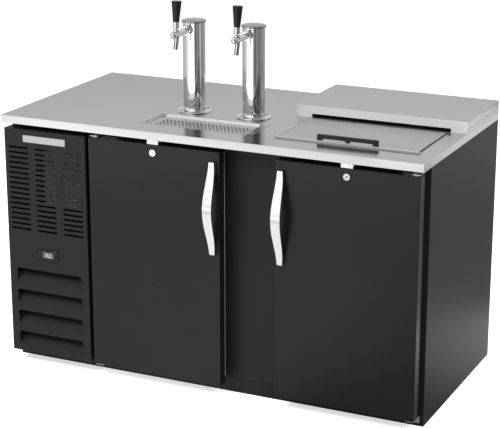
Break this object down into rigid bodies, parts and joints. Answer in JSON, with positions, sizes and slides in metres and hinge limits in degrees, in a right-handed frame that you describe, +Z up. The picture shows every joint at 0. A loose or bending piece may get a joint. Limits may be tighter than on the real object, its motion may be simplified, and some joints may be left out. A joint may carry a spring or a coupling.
{
  "type": "draft beer cooler",
  "caption": "Free-standing back-bar cooler with hinged doors, a machine bay behind a louvred panel, a sliding top lid, a drip tray and chrome tap towers with working faucets.",
  "frame": {"origin": "on the floor, under the middle of the worktop's footprint", "axes": "+Z up, -Y towards the doors and the person at the taps, +X to that person's right"},
  "size_m": [1.499, 0.8068, 1.2736],
  "materials": {
    "stainless": "brushed stainless sheet",
    "coated_steel": "satin black vinyl-coated steel",
    "frame_plastic": "charcoal coated facing",
    "foam": "rigid polyurethane foam",
    "liner": "stucco aluminium sheet",
    "chrome": "polished chrome plate",
    "plated_steel": "bright zinc plate",
    "black_plastic": "satin black plastic",
    "display_glass": "dark display window",
    "gasket_rubber": "soft magnetic gasket",
    "nylon": "natural nylon",
    "black_enamel": "black enamel",
    "coil_fins": "mill aluminium fins"
  },
  "bodies": {
    "cabinet": {"base_pan": "coated_steel", "side_panels": "coated_steel", "back_panel": "coated_steel", "insulation_panels": "foam", "insulation_top": "foam", "inner_liner": "liner", "front_frame": "frame_plastic", "worktop": "stainless", "worktop_core": "foam", "raised_shelf": "stainless", "lid_track": "stainless", "drip_tray": "stainless", "tower_columns": "chrome", "tower_caps": "chrome", "flange_screws": "plated_steel", "faucet_shanks": "chrome", "faucet_nuts": "chrome", "faucet_bodies": "chrome", "lock_strikes": "plated_steel", "hinge_brackets": "plated_steel", "hinge_pins": "plated_steel", "grille_panel": "coated_steel", "controller_case": "black_plastic", "display_lens": "display_glass", "compressor": "black_enamel", "condenser_coil": "coil_fins", "fan_shroud": "black_enamel", "evaporator_coil": "coil_fins", "evaporator_cover": "liner"},
    "left_door": {"left_door_shell": "coated_steel", "left_door_core": "foam", "left_door_plug": "frame_plastic", "left_door_gasket": "gasket_rubber", "left_door_handle": "chrome", "left_door_bushes": "nylon", "left_lock_barrel": "chrome"},
    "right_door": {"right_door_shell": "coated_steel", "right_door_core": "foam", "right_door_plug": "frame_plastic", "right_door_gasket": "gasket_rubber", "right_door_handle": "chrome", "right_door_bushes": "nylon", "right_lock_barrel": "chrome"},
    "left_lock": {"left_lock_plug": "plated_steel"},
    "right_lock": {"right_lock_plug": "plated_steel"},
    "lid": {"lid": "stainless", "lid_handle": "black_plastic"},
    "drip_grille": {"drip_grille": "stainless"},
    "left_tap": {"left_tap_lever": "chrome", "left_tap_handle": "black_plastic"},
    "right_tap": {"right_tap_lever": "chrome", "right_tap_handle": "black_plastic"},
    "left_valve": {"left_valve_shaft": "plated_steel"},
    "right_valve": {"right_valve_shaft": "plated_steel"},
    "condenser_fan": {"condenser_fan": "black_plastic"},
    "evaporator_fan": {"evaporator_fan": "black_plastic"},
    "key_set": {"key_set": "black_plastic"},
    "key_up": {"key_up": "black_plastic"},
    "key_down": {"key_down": "black_plastic"},
    "key_lamp": {"key_lamp": "black_plastic"}
  },
  "joints": [
    {"name": "left_door_hinge", "type": "hinge", "parent": "cabinet", "child": "left_door", "pos_m": [-0.3934, -0.356, 0.43925], "axis": [0, 0, -1], "range_deg": [0, 110]},
    {"name": "right_door_hinge", "type": "hinge", "parent": "cabinet", "child": "right_door", "pos_m": [0.7199, -0.356, 0.43925], "axis": [0, 0, 1], "range_deg": [0, 110]},
    {"name": "left_lock_turn", "type": "hinge", "parent": "left_door", "child": "left_lock", "pos_m": [-0.1739, -0.374, 0.811], "axis": [0, -1, 0], "range_deg": [0, 90]},
    {"name": "right_lock_turn", "type": "hinge", "parent": "right_door", "child": "right_lock", "pos_m": [0.5004, -0.374, 0.811], "axis": [0, 1, 0], "range_deg": [0, 90]},
    {"name": "lid_slide", "type": "slide", "parent": "cabinet", "child": "lid", "axis": [0, 1, 0], "range_m": [0, 0.28]},
    {"name": "drip_grille_lift", "type": "slide", "parent": "cabinet", "child": "drip_grille", "axis": [0, 0, 1], "range_m": [0, 0.06]},
    {"name": "left_tap_pull", "type": "hinge", "parent": "cabinet", "child": "left_tap", "pos_m": [-0.1863, -0.1775, 1.172], "axis": [1, 0, 0], "range_deg": [0, 30]},
    {"name": "left_valve_slide", "type": "slide", "parent": "cabinet", "child": "left_valve", "axis": [0, 1, 0], "range_m": [0, 0.005]},
    {"name": "right_tap_pull", "type": "hinge", "parent": "cabinet", "child": "right_tap", "pos_m": [0.0343, -0.1775, 1.172], "axis": [1, 0, 0], "range_deg": [0, 30]},
    {"name": "right_valve_slide", "type": "slide", "parent": "cabinet", "child": "right_valve", "axis": [0, 1, 0], "range_m": [0, 0.005]},
    {"name": "condenser_fan_spin", "type": "hinge", "parent": "cabinet", "child": "condenser_fan", "pos_m": [-0.5506, -0.1926, 0.665], "axis": [0, 1, 0], "continuous": true},
    {"name": "evaporator_fan_spin", "type": "hinge", "parent": "cabinet", "child": "evaporator_fan", "pos_m": [-0.2874, 0.1556, 0.62], "axis": [1, 0, 0], "continuous": true},
    {"name": "key_set_press", "type": "slide", "parent": "cabinet", "child": "key_set", "axis": [0, 1, 0], "range_m": [0, 0.001], "stiffness_N_per_m": 300},
    {"name": "key_up_press", "type": "slide", "parent": "cabinet", "child": "key_up", "axis": [0, 1, 0], "range_m": [0, 0.001], "stiffness_N_per_m": 300},
    {"name": "key_down_press", "type": "slide", "parent": "cabinet", "child": "key_down", "axis": [0, 1, 0], "range_m": [0, 0.001], "stiffness_N_per_m": 300},
    {"name": "key_lamp_press", "type": "slide", "parent": "cabinet", "child": "key_lamp", "axis": [0, 1, 0], "range_m": [0, 0.001], "stiffness_N_per_m": 300}
  ],
  "couplings": [
    {"joint": "left_valve_slide", "follows": "left_tap_pull", "m_per_rad": 0.0095},
    {"joint": "right_valve_slide", "follows": "right_tap_pull", "m_per_rad": 0.0095}
  ]
}
